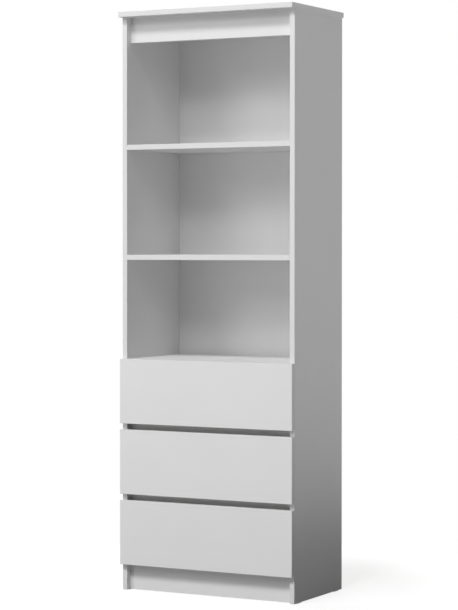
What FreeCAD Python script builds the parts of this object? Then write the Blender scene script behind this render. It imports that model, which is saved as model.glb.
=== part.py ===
import FreeCAD, Part
import os

import Sketcher

# Bookcase with three bottom drawers, in white laminated board.
# Millimetres. +Z is up, +X is to the right seen from the front, +Y is to the back.
# The origin lies on the floor, in the middle of the bookcase's footprint.

SIZES = {
    # Carcass
    "carcass_width": 600,
    "carcass_height": 1800,
    "side_depth": 330,
    "board": 16,
    "edge_radius": 1,
    "top_front_overhang": 21,
    "top_side_overhang": 3,
    "top_rear_lip": 1,
    "top_rail_height": 78,
    "top_rail_setback": 25,
    "middle_bay_height": 326,
    "lower_bay_height": 308,
    "plinth_height": 80,
    "plinth_setback": 20,
    # Folding back panel
    "back_thickness": 3,
    "back_inset": 2,
    "back_fold_film": 0.4,
    # Foot glides
    "glide_height": 2,
    "glide_width": 12,
    "glide_length": 30,
    "glide_chamfer": 0.6,
    "glide_inset": 20,
    # Drawer fronts and the rails behind their finger gaps
    "front_height": 201,
    "front_gap": 19,
    "front_lift": 1,
    "front_standoff": 1.5,
    "drawer_rail_height": 50,
    "drawer_rail_setback": 25,
    # Drawer boxes
    "drawer_length": 300,
    "drawer_floor_room": 8,
    "drawer_lift_room": 22,
    "drawer_bottom_thickness": 3,
    "groove_depth": 6,
    "groove_lift": 10,
    "groove_play": 0.2,
    # Roller runners, bent from sheet steel
    "runner_space": 12.5,
    "runner_setback": 3,
    "runner_sheet": 1.2,
    "channel_flange": 10,
    "track_air": 1.6,
    "track_edge_air": 1.4,
    "wrap_drop": 2,
    "wrap_width": 8,
    "roller_diameter": 20,
    "roller_width": 6,
    "roller_play": 0.3,
    "roller_side_play": 0.4,
    "roller_inset": 12,
    "roller_room": 2,
    "stud_diameter": 5,
    "stud_play": 0.1,
    # Cam locks and their bolts
    "cam_bore": 15,
    "cam_bore_depth": 12.5,
    "cam_play": 0.1,
    "cam_slot": 7.6,
    "cam_setback": 24,
    "cam_inset": 60,
    "bolt_diameter": 5,
    "bolt_head_diameter": 7,
    "bolt_head_length": 5,
    "bolt_bore": 8,
    "bolt_grip": 11,
    "bolt_play": 0.1,
    # Wooden dowels
    "dowel_diameter": 8,
    "dowel_length": 30,
    "dowel_grip": 11,
    "dowel_play": 0.1,
    "dowel_inset": 60,
}

document = FreeCAD.newDocument("Bookcase")
sheet = document.addObject("Spreadsheet::Sheet", "Sizes")
for row, (name, number) in enumerate(SIZES.items(), start=1):
    sheet.set(f"A{row}", name)
    sheet.set(f"B{row}", str(number))
    sheet.setAlias(f"B{row}", name)
document.recompute()

# Places and sizes worked out from the sheet, as expressions

TOP_DEPTH = (
    "(Sizes.top_front_overhang + Sizes.side_depth + Sizes.back_thickness + Sizes.top_rear_lip)"
)
TOP_WIDTH = "(Sizes.carcass_width + 2 * Sizes.top_side_overhang)"
CLEAR_WIDTH = "(Sizes.carcass_width - 2 * Sizes.board)"
SIDE_HEIGHT = "(Sizes.carcass_height - Sizes.board)"
LEFT = "(-Sizes.carcass_width / 2)"
LEFT_INNER = "(Sizes.board - Sizes.carcass_width / 2)"
TOP_FRONT = f"(-{TOP_DEPTH} / 2)"
SIDE_FRONT = f"({TOP_FRONT} + Sizes.top_front_overhang)"
SIDE_REAR = f"({SIDE_FRONT} + Sizes.side_depth)"
MID_BOARD = "(Sizes.board / 2)"
DRAWERS = (1, 2, 3)


# Heights of the boards' undersides above the side panels' lower ends

def front_level(drawer):
    """The lower edge of a drawer's front; drawer 1 is the top one."""
    steps = len(DRAWERS) - drawer
    pitch = "(Sizes.front_height + Sizes.front_gap)"
    return f"(Sizes.plinth_height + Sizes.front_lift + {steps} * {pitch})"


def drawer_rail_level(drawer):
    """The rail behind the finger gap under a drawer's front, centred on the gap."""
    return f"({front_level(drawer)} - (Sizes.front_gap + Sizes.drawer_rail_height) / 2)"


DECK_TOP = f"({front_level(DRAWERS[0])} + Sizes.front_height)"
MIDDLE_SHELF_LEVEL = f"({DECK_TOP} + Sizes.lower_bay_height)"
SHELF_BOARDS = {
    "bottom_panel": "Sizes.plinth_height",
    "drawer_deck": f"({DECK_TOP} - Sizes.board)",
    "middle_shelf": MIDDLE_SHELF_LEVEL,
    "upper_shelf": f"({MIDDLE_SHELF_LEVEL} + Sizes.board + Sizes.middle_bay_height)",
}

# Upright boards between the side panels: height, setback, level and where their dowels sit in the height
ONE_DOWEL_SHARES = (0.5,)
TWO_DOWEL_SHARES = (0.25, 0.75)
RAILS = {
    "plinth": ("Sizes.plinth_height", "Sizes.plinth_setback", "0", ONE_DOWEL_SHARES),
    "lower_drawer_rail": (
        "Sizes.drawer_rail_height",
        "Sizes.drawer_rail_setback",
        drawer_rail_level(DRAWERS[1]),
        TWO_DOWEL_SHARES,
    ),
    "upper_drawer_rail": (
        "Sizes.drawer_rail_height",
        "Sizes.drawer_rail_setback",
        drawer_rail_level(DRAWERS[0]),
        TWO_DOWEL_SHARES,
    ),
    "top_rail": (
        "Sizes.top_rail_height",
        "Sizes.top_rail_setback",
        f"({SIDE_HEIGHT} - Sizes.top_rail_height)",
        ONE_DOWEL_SHARES,
    ),
}

# Drawer boxes and runners
BOX_FRONT = f"({SIDE_FRONT} - Sizes.front_standoff)"
BOX_LEFT = f"({LEFT_INNER} + Sizes.runner_space)"
BOX_CLEAR_WIDTH = f"({CLEAR_WIDTH} - 2 * Sizes.runner_space - 2 * Sizes.board)"
BOX_HEIGHT = (
    "(Sizes.front_height + Sizes.front_gap - Sizes.drawer_rail_height"
    " - Sizes.drawer_floor_room - Sizes.drawer_lift_room)"
)
GROOVE_HEIGHT = "(Sizes.drawer_bottom_thickness + Sizes.groove_play)"
ROLLER_RADIUS = "(Sizes.roller_diameter / 2)"
CHANNEL_HEIGHT = "(Sizes.roller_diameter + 2 * Sizes.roller_play + 2 * Sizes.runner_sheet)"
TRACK_UNDERSIDE = f"({CHANNEL_HEIGHT} - 2 * Sizes.runner_sheet - Sizes.track_air)"
FRONT_AXLE_HEIGHT = f"({TRACK_UNDERSIDE} - Sizes.roller_play - {ROLLER_RADIUS})"
REAR_AXLE_HEIGHT = f"(Sizes.runner_sheet + Sizes.roller_play + {ROLLER_RADIUS})"
ROLLER_STRETCH = f"(Sizes.roller_inset + {ROLLER_RADIUS} + Sizes.roller_room)"
STUD_LENGTH = "(Sizes.roller_width + 2 * Sizes.roller_side_play)"


def box_level(drawer):
    """The lower edge of a drawer box, above the rail or panel under it."""
    rail_top = f"({drawer_rail_level(drawer)} + Sizes.drawer_rail_height)"
    return f"(Sizes.glide_height + {rail_top} + Sizes.drawer_floor_room)"


def channel_level(drawer):
    """The underside of a drawer's cabinet runners."""
    return f"({box_level(drawer)} - Sizes.runner_sheet - Sizes.wrap_drop)"


# Building blocks

def measured(expression):
    """The number that an expression on the sheet gives."""
    return float(sheet.evalExpression(expression))


def put(piece, x, y, z):
    """Binds a piece's place."""
    for axis, expression in zip("xyz", (x, y, z)):
        piece.setExpression(f"Placement.Base.{axis}", expression)


def new_body(label):
    body = document.addObject("PartDesign::Body", label)
    body.Label = label
    return body


def origin_plane(body, role):
    return next(item for item in body.Origin.OriginFeatures if item.Role == role)


def new_sketch(body, plane_role, offset="0"):
    """A sketch on one of the body's own planes, moved along the plane's normal."""
    sketch = body.newObject("Sketcher::SketchObject", f"{body.Name}_sketch")
    sketch.AttachmentSupport = [(origin_plane(body, plane_role), "")]
    sketch.MapMode = "FlatFace"
    sketch.setExpression("AttachmentOffset.Base.z", offset)
    return sketch


def bind_point(sketch, geometry, position, x, y):
    """Ties a point of the sketch to its distances from the sketch's origin."""
    for kind, expression in (("DistanceX", x), ("DistanceY", y)):
        constraint = Sketcher.Constraint(kind, -1, 1, geometry, position, measured(expression))
        index = sketch.addConstraint(constraint)
        sketch.setExpression(f"Constraints[{index}]", expression)


def draw_outline(sketch, points):
    """A closed outline of straight lines through points given as expressions."""
    corners = [FreeCAD.Vector(measured(x), measured(y), 0) for x, y in points]
    following = corners[1:] + corners[:1]
    lines = [Part.LineSegment(start, end) for start, end in zip(corners, following)]
    indices = sketch.addGeometry(lines, False)
    for index, after in zip(indices, indices[1:] + indices[:1]):
        sketch.addConstraint(Sketcher.Constraint("Coincident", index, 2, after, 1))
    for index, (x, y) in zip(indices, points):
        bind_point(sketch, index, 1, x, y)


def draw_rectangle(sketch, left, low, right, high):
    draw_outline(sketch, ((left, low), (right, low), (right, high), (left, high)))


def draw_circle(sketch, x, y, diameter):
    centre = FreeCAD.Vector(measured(x), measured(y), 0)
    circle = Part.Circle(centre, FreeCAD.Vector(0, 0, 1), measured(diameter) / 2)
    index = sketch.addGeometry(circle, False)
    bind_point(sketch, index, 3, x, y)
    constraint = sketch.addConstraint(Sketcher.Constraint("Diameter", index, measured(diameter)))
    sketch.setExpression(f"Constraints[{constraint}]", diameter)


def pad(body, sketch, length, against_normal=False):
    feature = body.newObject("PartDesign::Pad", f"{body.Name}_pad")
    feature.Profile = sketch
    feature.setExpression("Length", length)
    feature.Reversed = against_normal
    return feature


def pocket(body, sketch, depth, along_normal):
    feature = body.newObject("PartDesign::Pocket", f"{body.Name}_pocket")
    feature.Profile = sketch
    feature.setExpression("Length", depth)
    feature.Reversed = along_normal
    return feature


def revolve(body, sketch, axis):
    feature = body.newObject("PartDesign::Revolution", f"{body.Name}_revolution")
    feature.Profile = sketch
    feature.ReferenceAxis = (sketch, [axis])
    return feature


def bore(body, plane_role, start, depth, diameter, spots, flats=0):
    """Blind bores of one depth along a plane's normal, at spots (x, y) in that plane.

    A bore that a hidden fastener fills has flats, to keep the facets few.
    """
    kind = "Prism" if flats else "Cylinder"
    for x, y in spots:
        feature = body.newObject(f"PartDesign::Subtractive{kind}", f"{body.Name}_bore")
        feature.AttachmentSupport = [(origin_plane(body, plane_role), "")]
        feature.MapMode = "FlatFace"
        for axis, expression in zip("xyz", (x, y, start)):
            feature.setExpression(f"AttachmentOffset.Base.{axis}", expression)
        feature.setExpression("Height", depth)
        if flats:
            feature.Polygon = flats
            feature.setExpression("Circumradius", f"{diameter} / 2")
        else:
            feature.setExpression("Radius", f"{diameter} / 2")


def board(label, size, place):
    """A rectangular board with its left, front, lower corner at the given place."""
    width, depth, height = size
    body = new_body(label)
    sketch = new_sketch(body, "XY_Plane")
    draw_rectangle(sketch, "0", "0", width, depth)
    pad(body, sketch, height)
    put(body, *place)
    return body


def round_front(body, ends=True):
    """Rounds the edges of a board's front face, its upright ends only where they show."""
    document.recompute()
    base = body.Tip
    chosen = []
    for number, edge in enumerate(base.Shape.Edges, start=1):
        first, last = (vertex.Point for vertex in edge.Vertexes)
        in_front = max(abs(first.y), abs(last.y)) < Part.Precision.confusion()
        level = abs(first.z - last.z) < Part.Precision.confusion()
        if in_front and (ends or level):
            chosen.append(f"Edge{number}")
    fillet = body.newObject("PartDesign::Fillet", f"{body.Name}_fillet")
    fillet.Base = (base, chosen)
    fillet.setExpression("Radius", "Sizes.edge_radius")


def mirrored(source, label):
    """The right-hand twin of a left-hand piece."""
    twin = document.addObject("Part::Mirroring", label)
    twin.Label = label
    twin.Source = source
    twin.Normal = FreeCAD.Vector(1, 0, 0)
    return twin


def scattered(label, template, places):
    """Copies of one fastener at the left-hand places, and their right-hand twins, as one group."""
    copies = []
    for rotation, x, y, z in places:
        copy = document.addObject("App::Link", f"{label}_copy")
        copy.LinkedObject = template
        copy.Placement = FreeCAD.Placement(FreeCAD.Vector(), rotation)
        put(copy, x, y, z)
        copies.append(copy)
    left_group = document.addObject("Part::Compound", f"{label}_left")
    left_group.Links = copies
    group = document.addObject("Part::Compound", label)
    group.Label = label
    group.Links = [left_group, mirrored(left_group, f"{label}_right")]
    return group


sub_parts = []

# Side panels: bored for the bolts and dowels of every board between them, and for the top panel's cams

DOWEL_BORE = "(Sizes.dowel_diameter + 2 * Sizes.dowel_play)"
BOLT_THREAD_BORE = "(Sizes.bolt_diameter + 2 * Sizes.bolt_play)"
DOWEL_GRIP_DEPTH = "(Sizes.dowel_grip + Sizes.dowel_play)"
DOWEL_END_DEPTH = "(Sizes.dowel_length - Sizes.dowel_grip + Sizes.dowel_play)"
BOLT_GRIP_DEPTH = "(Sizes.bolt_grip + Sizes.bolt_play)"
PIN_FLAT_COUNT = 8
REAR_DOWEL = "(Sizes.side_depth - Sizes.dowel_inset)"


def rail_dowel_spots():
    """Where the rails' dowels enter a side panel, from its front edge and its lower end."""
    for height, setback, level, shares in RAILS.values():
        for share in shares:
            yield f"({setback} + {MID_BOARD})", f"({level} + {share} * {height})"


left_side = board(
    "left_side_panel",
    ("Sizes.board", "Sizes.side_depth", SIDE_HEIGHT),
    (LEFT, SIDE_FRONT, "Sizes.glide_height"),
)
round_front(left_side)
shelf_axes = [f"({level} + {MID_BOARD})" for level in SHELF_BOARDS.values()]
bolt_spots = [("Sizes.cam_inset", axis) for axis in shelf_axes]
dowel_spots = [(REAR_DOWEL, axis) for axis in shelf_axes] + list(rail_dowel_spots())
bolt_start = f"(Sizes.board - {BOLT_GRIP_DEPTH})"
bore(left_side, "YZ_Plane", bolt_start, BOLT_GRIP_DEPTH, BOLT_THREAD_BORE, bolt_spots, PIN_FLAT_COUNT)
dowel_start = f"(Sizes.board - {DOWEL_GRIP_DEPTH})"
bore(left_side, "YZ_Plane", dowel_start, DOWEL_GRIP_DEPTH, DOWEL_BORE, dowel_spots, PIN_FLAT_COUNT)
top_cam_spot = ("Sizes.cam_inset", f"({SIDE_HEIGHT} - Sizes.cam_setback)")
cam_start = "(Sizes.board - Sizes.cam_bore_depth)"
bore(left_side, "YZ_Plane", cam_start, "Sizes.cam_bore_depth", "Sizes.cam_bore", [top_cam_spot])
top_bolt_spot = (MID_BOARD, "Sizes.cam_inset")
top_bolt_start = f"({SIDE_HEIGHT} - Sizes.cam_setback)"
bore(
    left_side,
    "XY_Plane",
    top_bolt_start,
    "Sizes.cam_setback",
    "Sizes.bolt_bore",
    [top_bolt_spot],
    PIN_FLAT_COUNT,
)
top_dowel_spot = (MID_BOARD, REAR_DOWEL)
top_dowel_start = f"({SIDE_HEIGHT} - {DOWEL_END_DEPTH})"
bore(
    left_side,
    "XY_Plane",
    top_dowel_start,
    DOWEL_END_DEPTH,
    DOWEL_BORE,
    [top_dowel_spot],
    PIN_FLAT_COUNT,
)
sub_parts += [left_side, mirrored(left_side, "right_side_panel")]

# Top panel, lying on the side panels

top = board(
    "top_panel",
    (TOP_WIDTH, TOP_DEPTH, "Sizes.board"),
    (f"(-{TOP_WIDTH} / 2)", TOP_FRONT, f"(Sizes.glide_height + {SIDE_HEIGHT})"),
)
round_front(top)
over_left_side = f"(Sizes.top_side_overhang + {MID_BOARD})"
over_sides = (over_left_side, f"({TOP_WIDTH} - {over_left_side})")
bolt_spots = [(x, "(Sizes.top_front_overhang + Sizes.cam_inset)") for x in over_sides]
dowel_spots = [(x, f"(Sizes.top_front_overhang + {REAR_DOWEL})") for x in over_sides]
bore(top, "XY_Plane", "0", BOLT_GRIP_DEPTH, BOLT_THREAD_BORE, bolt_spots, PIN_FLAT_COUNT)
bore(top, "XY_Plane", "0", DOWEL_GRIP_DEPTH, DOWEL_BORE, dowel_spots, PIN_FLAT_COUNT)
sub_parts.append(top)

# Bottom panel, drawer deck and shelves: cam bores in the underside, bolt and dowel bores in both ends


def bore_both_ends(body, depth, diameter, spots):
    """The same blind bores in the left and right ends of a board between the side panels."""
    for start in ("0", f"({CLEAR_WIDTH} - {depth})"):
        bore(body, "YZ_Plane", start, depth, diameter, spots, PIN_FLAT_COUNT)


for label, level in SHELF_BOARDS.items():
    shelf = board(
        label,
        (CLEAR_WIDTH, "Sizes.side_depth", "Sizes.board"),
        (LEFT_INNER, SIDE_FRONT, f"(Sizes.glide_height + {level})"),
    )
    round_front(shelf, ends=False)
    cam_columns = ("Sizes.cam_setback", f"({CLEAR_WIDTH} - Sizes.cam_setback)")
    cam_spots = [(x, "Sizes.cam_inset") for x in cam_columns]
    bore(shelf, "XY_Plane", "0", "Sizes.cam_bore_depth", "Sizes.cam_bore", cam_spots)
    bore_both_ends(shelf, "Sizes.cam_setback", "Sizes.bolt_bore", [("Sizes.cam_inset", MID_BOARD)])
    bore_both_ends(shelf, DOWEL_END_DEPTH, DOWEL_BORE, [(REAR_DOWEL, MID_BOARD)])
    sub_parts.append(shelf)

# Plinth, drawer rails and top rail: held by dowels in both ends

for label, (height, setback, level, shares) in RAILS.items():
    rail = board(
        label,
        (CLEAR_WIDTH, "Sizes.board", height),
        (LEFT_INNER, f"({SIDE_FRONT} + {setback})", f"(Sizes.glide_height + {level})"),
    )
    dowel_spots = [(MID_BOARD, f"({share} * {height})") for share in shares]
    bore_both_ends(rail, DOWEL_END_DEPTH, DOWEL_BORE, dowel_spots)
    sub_parts.append(rail)

# Back panel: one thin sheet, milled from behind along its middle so that it folds for packing

BACK_WIDTH = "(Sizes.carcass_width - 2 * Sizes.back_inset)"
BACK_HEIGHT = f"({SIDE_HEIGHT} - Sizes.plinth_height - 2 * Sizes.back_inset)"
FOLD_DEPTH = "(Sizes.back_thickness - Sizes.back_fold_film)"
back = board(
    "back_panel",
    (BACK_WIDTH, "Sizes.back_thickness", BACK_HEIGHT),
    (
        f"(-{BACK_WIDTH} / 2)",
        SIDE_REAR,
        "(Sizes.glide_height + Sizes.plinth_height + Sizes.back_inset)",
    ),
)
fold = new_sketch(back, "XY_Plane")
draw_outline(
    fold,
    (
        (f"({BACK_WIDTH} / 2)", "Sizes.back_fold_film"),
        (f"({BACK_WIDTH} / 2 + {FOLD_DEPTH})", "Sizes.back_thickness"),
        (f"({BACK_WIDTH} / 2 - {FOLD_DEPTH})", "Sizes.back_thickness"),
    ),
)
pocket(back, fold, BACK_HEIGHT, True)
sub_parts.append(back)

# Foot glides: plastic pads under the side panels, bevelled where they meet the floor

for depth_name, depth in (
    ("front", f"({SIDE_FRONT} + Sizes.glide_inset)"),
    ("rear", f"({SIDE_REAR} - Sizes.glide_inset - Sizes.glide_length)"),
):
    glide = board(
        f"{depth_name}_left_glide",
        ("Sizes.glide_width", "Sizes.glide_length", "Sizes.glide_height"),
        (f"({LEFT} + (Sizes.board - Sizes.glide_width) / 2)", depth, "0"),
    )
    document.recompute()
    slab = glide.Tip
    face_levels = [face.CenterOfMass.z for face in slab.Shape.Faces]
    lowest_number = face_levels.index(min(face_levels)) + 1
    bevel = glide.newObject("PartDesign::Chamfer", f"{glide.Name}_bevel")
    bevel.Base = (slab, [f"Face{lowest_number}"])
    bevel.setExpression("Size", "Sizes.glide_chamfer")
    sub_parts += [glide, mirrored(glide, f"{depth_name}_right_glide")]

# Cam locks: a round body, slotted from its hidden end so that the bolt's head drops in

CAM_RADIUS = "(Sizes.cam_bore / 2 - Sizes.cam_play)"
cam_round = document.addObject("Part::Cylinder", "cam_round")
cam_round.setExpression("Radius", CAM_RADIUS)
cam_round.setExpression("Height", "Sizes.cam_bore_depth - Sizes.cam_play")
cam_slot = document.addObject("Part::Box", "cam_slot")
cam_slot.setExpression("Length", "Sizes.cam_bore / 2 + Sizes.cam_slot / 2")
cam_slot.setExpression("Width", "Sizes.cam_slot")
cam_slot.setExpression("Height", "Sizes.cam_bore_depth")
put(cam_slot, "-Sizes.cam_bore / 2", "-Sizes.cam_slot / 2", f"{MID_BOARD} - Sizes.cam_slot / 2")
cam = document.addObject("Part::Cut", "cam")
cam.Base = cam_round
cam.Tool = cam_slot

# Cam bolts: threaded into the neighbour board at one end, with a head that the cam draws in


def flat_sided_pin(name, diameter, length):
    pin = document.addObject("Part::Prism", name)
    pin.Polygon = PIN_FLAT_COUNT
    pin.setExpression("Circumradius", f"{diameter} / 2")
    pin.setExpression("Height", length)
    return pin


bolt = document.addObject("Part::Fuse", "bolt")
bolt.Base = flat_sided_pin("bolt_shank", "Sizes.bolt_diameter", "Sizes.bolt_grip + Sizes.cam_setback")
bolt.Tool = flat_sided_pin("bolt_head", "Sizes.bolt_head_diameter", "Sizes.bolt_head_length")
put(bolt.Tool, "0", "0", "Sizes.bolt_grip + Sizes.cam_setback - Sizes.bolt_head_length / 2")
dowel = flat_sided_pin("dowel", "Sizes.dowel_diameter", "Sizes.dowel_length")

# Left-hand places of the fasteners; a shelf's lie level, the top panel's stand upright

QUARTER_TURN = 90
HALF_TURN = 180
UNTURNED = FreeCAD.Rotation()
INTO_BOARD = FreeCAD.Rotation(FreeCAD.Vector(0, 1, 0), QUARTER_TURN)
DOWNWARDS = FreeCAD.Rotation(FreeCAD.Vector(1, 0, 0), HALF_TURN)
INTO_SIDE = FreeCAD.Rotation(FreeCAD.Vector(1, 0, -1), HALF_TURN)
CAM_ROW = f"({SIDE_FRONT} + Sizes.cam_inset)"
DOWEL_ROW = f"({SIDE_FRONT} + {REAR_DOWEL})"
SIDE_MIDDLE = f"({LEFT} + {MID_BOARD})"
BOLT_TIP = f"({LEFT_INNER} - Sizes.bolt_grip)"
DOWEL_TIP = f"({LEFT_INNER} - Sizes.dowel_grip)"
TOP_LEVEL = f"(Sizes.glide_height + {SIDE_HEIGHT})"

cam_places = [
    (UNTURNED, f"{LEFT_INNER} + Sizes.cam_setback", CAM_ROW, f"Sizes.glide_height + {level}")
    for level in SHELF_BOARDS.values()
]
cam_places.append((INTO_SIDE, LEFT_INNER, CAM_ROW, f"{TOP_LEVEL} - Sizes.cam_setback"))
bolt_places = [
    (INTO_BOARD, BOLT_TIP, CAM_ROW, f"Sizes.glide_height + {axis}") for axis in shelf_axes
]
bolt_places.append((DOWNWARDS, SIDE_MIDDLE, CAM_ROW, f"{TOP_LEVEL} + Sizes.bolt_grip"))
dowel_places = [
    (INTO_BOARD, DOWEL_TIP, DOWEL_ROW, f"Sizes.glide_height + {axis}") for axis in shelf_axes
]
dowel_places += [
    (INTO_BOARD, DOWEL_TIP, f"{SIDE_FRONT} + {y}", f"Sizes.glide_height + {z}")
    for y, z in rail_dowel_spots()
]
dowel_places.append((DOWNWARDS, SIDE_MIDDLE, DOWEL_ROW, f"{TOP_LEVEL} + Sizes.dowel_grip"))
sub_parts += [
    scattered("cam_locks", cam, cam_places),
    scattered("cam_bolts", bolt, bolt_places),
    scattered("dowels", dowel, dowel_places),
]


# Roller runners, left hand; their own X starts at the side panel's inner face

def stud(body, axle_depth, axle_height, root, tip):
    """A roller's riveted axle: a round stud that reaches just past the roller."""
    circle = new_sketch(body, "YZ_Plane", root)
    draw_circle(circle, axle_depth, axle_height, "Sizes.stud_diameter")
    pad(body, circle, f"({tip} - {root})")


def cabinet_runner(label, drawer):
    """A channel on the side panel; its flanges stop short of the roller at its front end."""
    flange = "Sizes.channel_flange"
    sheet_inside = f"({CHANNEL_HEIGHT} - Sizes.runner_sheet)"
    body = new_body(label)
    section = new_sketch(body, "XZ_Plane")
    draw_outline(
        section,
        (
            ("0", "0"),
            (flange, "0"),
            (flange, "Sizes.runner_sheet"),
            ("Sizes.runner_sheet", "Sizes.runner_sheet"),
            ("Sizes.runner_sheet", sheet_inside),
            (flange, sheet_inside),
            (flange, CHANNEL_HEIGHT),
            ("0", CHANNEL_HEIGHT),
        ),
    )
    pad(body, section, "Sizes.drawer_length", against_normal=True)
    front_cut = new_sketch(body, "XZ_Plane")
    draw_rectangle(front_cut, "Sizes.runner_sheet", "0", flange, CHANNEL_HEIGHT)
    pocket(body, front_cut, ROLLER_STRETCH, False)
    stud_tip = f"(Sizes.runner_sheet + {STUD_LENGTH})"
    stud(body, "Sizes.roller_inset", FRONT_AXLE_HEIGHT, "0", stud_tip)
    put(body, LEFT_INNER, f"({SIDE_FRONT} + Sizes.runner_setback)", channel_level(drawer))
    return body


def drawer_runner(label, drawer):
    """A track on the drawer side, wrapped under its lower edge, with the rear roller's stud."""
    web = "(Sizes.runner_space - Sizes.runner_sheet)"
    track_edge = "(Sizes.runner_sheet + Sizes.track_edge_air)"
    track_top = f"({TRACK_UNDERSIDE} + Sizes.runner_sheet)"
    wrap_edge = "(Sizes.runner_space + Sizes.wrap_width)"
    wrap_top = "(Sizes.wrap_drop + Sizes.runner_sheet)"
    body = new_body(label)
    section = new_sketch(body, "XZ_Plane")
    draw_outline(
        section,
        (
            (track_edge, TRACK_UNDERSIDE),
            (web, TRACK_UNDERSIDE),
            (web, "Sizes.wrap_drop"),
            (wrap_edge, "Sizes.wrap_drop"),
            (wrap_edge, wrap_top),
            ("Sizes.runner_space", wrap_top),
            ("Sizes.runner_space", track_top),
            (track_edge, track_top),
        ),
    )
    pad(body, section, "Sizes.drawer_length", against_normal=True)
    rear_cut = new_sketch(body, "XZ_Plane", "-Sizes.drawer_length")
    draw_rectangle(rear_cut, track_edge, TRACK_UNDERSIDE, web, track_top)
    pocket(body, rear_cut, ROLLER_STRETCH, True)
    axle_depth = "(Sizes.drawer_length - Sizes.roller_inset)"
    stud_root = f"({web} - {STUD_LENGTH})"
    stud(body, axle_depth, REAR_AXLE_HEIGHT, stud_root, "Sizes.runner_space")
    put(body, LEFT_INNER, BOX_FRONT, channel_level(drawer))
    return body


def roller_pair(label, x, y, z):
    """Two nylon wheels with plain bores, on one axis along X, at the left and the right runner."""
    body = new_body(f"{label}_left")
    section = new_sketch(body, "XZ_Plane")
    bore_radius = "(Sizes.stud_diameter / 2 + Sizes.stud_play)"
    draw_rectangle(section, "0", bore_radius, "Sizes.roller_width", ROLLER_RADIUS)
    revolve(body, section, "H_Axis")
    put(body, x, y, z)
    pair = document.addObject("Part::Compound", label)
    pair.Label = label
    pair.Links = [body, mirrored(body, f"{label}_right")]
    return pair


# Drawers: a laid-on front, a box of boards with a thin bottom in grooves, and its runners

for drawer in DRAWERS:
    name = f"drawer_{drawer}"
    level = box_level(drawer)
    groove_low = f"({level} + Sizes.groove_lift)"
    bottom_left = f"({BOX_LEFT} + Sizes.board - Sizes.groove_depth + Sizes.groove_play)"

    front_base = f"(Sizes.glide_height + {front_level(drawer)})"
    front = board(
        f"{name}_front",
        ("Sizes.carcass_width", "Sizes.board", "Sizes.front_height"),
        (LEFT, f"({BOX_FRONT} - Sizes.board)", front_base),
    )
    round_front(front)
    groove = new_sketch(front, "XZ_Plane", "-Sizes.board")
    groove_start = f"({BOX_LEFT} - {LEFT} + Sizes.board - Sizes.groove_depth)"
    groove_end = f"(Sizes.carcass_width - {groove_start})"
    groove_base = f"({groove_low} - {front_base})"
    draw_rectangle(groove, groove_start, groove_base, groove_end, f"({groove_base} + {GROOVE_HEIGHT})")
    pocket(front, groove, "Sizes.groove_depth", True)

    left_box_side = board(
        f"{name}_left_side",
        ("Sizes.board", "Sizes.drawer_length", BOX_HEIGHT),
        (BOX_LEFT, BOX_FRONT, level),
    )
    groove_top = f"(Sizes.groove_lift + {GROOVE_HEIGHT})"
    groove = new_sketch(left_box_side, "YZ_Plane", "Sizes.board")
    draw_rectangle(groove, "0", "Sizes.groove_lift", "Sizes.drawer_length", groove_top)
    pocket(left_box_side, groove, "Sizes.groove_depth", False)

    box_back = board(
        f"{name}_back",
        (BOX_CLEAR_WIDTH, "Sizes.board", BOX_HEIGHT),
        (
            f"({BOX_LEFT} + Sizes.board)",
            f"({BOX_FRONT} + Sizes.drawer_length - Sizes.board)",
            level,
        ),
    )
    groove = new_sketch(box_back, "XZ_Plane")
    draw_rectangle(groove, "0", "Sizes.groove_lift", BOX_CLEAR_WIDTH, groove_top)
    pocket(box_back, groove, "Sizes.groove_depth", False)

    groove_reach = "2 * (Sizes.groove_depth - Sizes.groove_play)"
    box_bottom = board(
        f"{name}_bottom",
        (
            f"({BOX_CLEAR_WIDTH} + {groove_reach})",
            f"(Sizes.drawer_length - Sizes.board + {groove_reach})",
            "Sizes.drawer_bottom_thickness",
        ),
        (bottom_left, f"({BOX_FRONT} - Sizes.groove_depth + Sizes.groove_play)", groove_low),
    )

    left_channel = cabinet_runner(f"{name}_left_cabinet_runner", drawer)
    left_track = drawer_runner(f"{name}_left_drawer_runner", drawer)
    front_rollers = roller_pair(
        f"{name}_front_rollers",
        f"({LEFT_INNER} + Sizes.runner_sheet + Sizes.roller_side_play)",
        f"({SIDE_FRONT} + Sizes.runner_setback + Sizes.roller_inset)",
        f"({channel_level(drawer)} + {FRONT_AXLE_HEIGHT})",
    )
    rear_rollers = roller_pair(
        f"{name}_rear_rollers",
        f"({BOX_LEFT} - Sizes.runner_sheet - Sizes.roller_side_play - Sizes.roller_width)",
        f"({BOX_FRONT} + Sizes.drawer_length - Sizes.roller_inset)",
        f"({channel_level(drawer)} + {REAR_AXLE_HEIGHT})",
    )
    sub_parts += [front, box_back, box_bottom, front_rollers, rear_rollers]
    for piece in (left_box_side, left_channel, left_track):
        sub_parts += [piece, mirrored(piece, piece.Label.replace("left", "right"))]

document.recompute()

# Every feature has to be sound, and every cut has to take something away, before anything is written

CUTS = (
    "PartDesign::Pocket",
    "PartDesign::SubtractiveCylinder",
    "PartDesign::SubtractivePrism",
)
for item in document.Objects:
    if "Invalid" in item.State or "Error" in item.State:
        raise RuntimeError(f"{item.Label} failed: {item.State}")
    if item.TypeId in CUTS and item.Shape.Volume >= item.BaseFeature.Shape.Volume:
        raise RuntimeError(f"{item.Label} cuts nothing")
for piece in sub_parts:
    if piece.Shape.isNull() or not piece.Shape.isValid():
        raise RuntimeError(f"{piece.Label} has no sound shape")

os.makedirs("parts", exist_ok=True)
for piece in sub_parts:
    piece.Shape.exportStep(f"parts/{piece.Label}.step")
print(f"wrote {len(sub_parts)} sub-parts")
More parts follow.
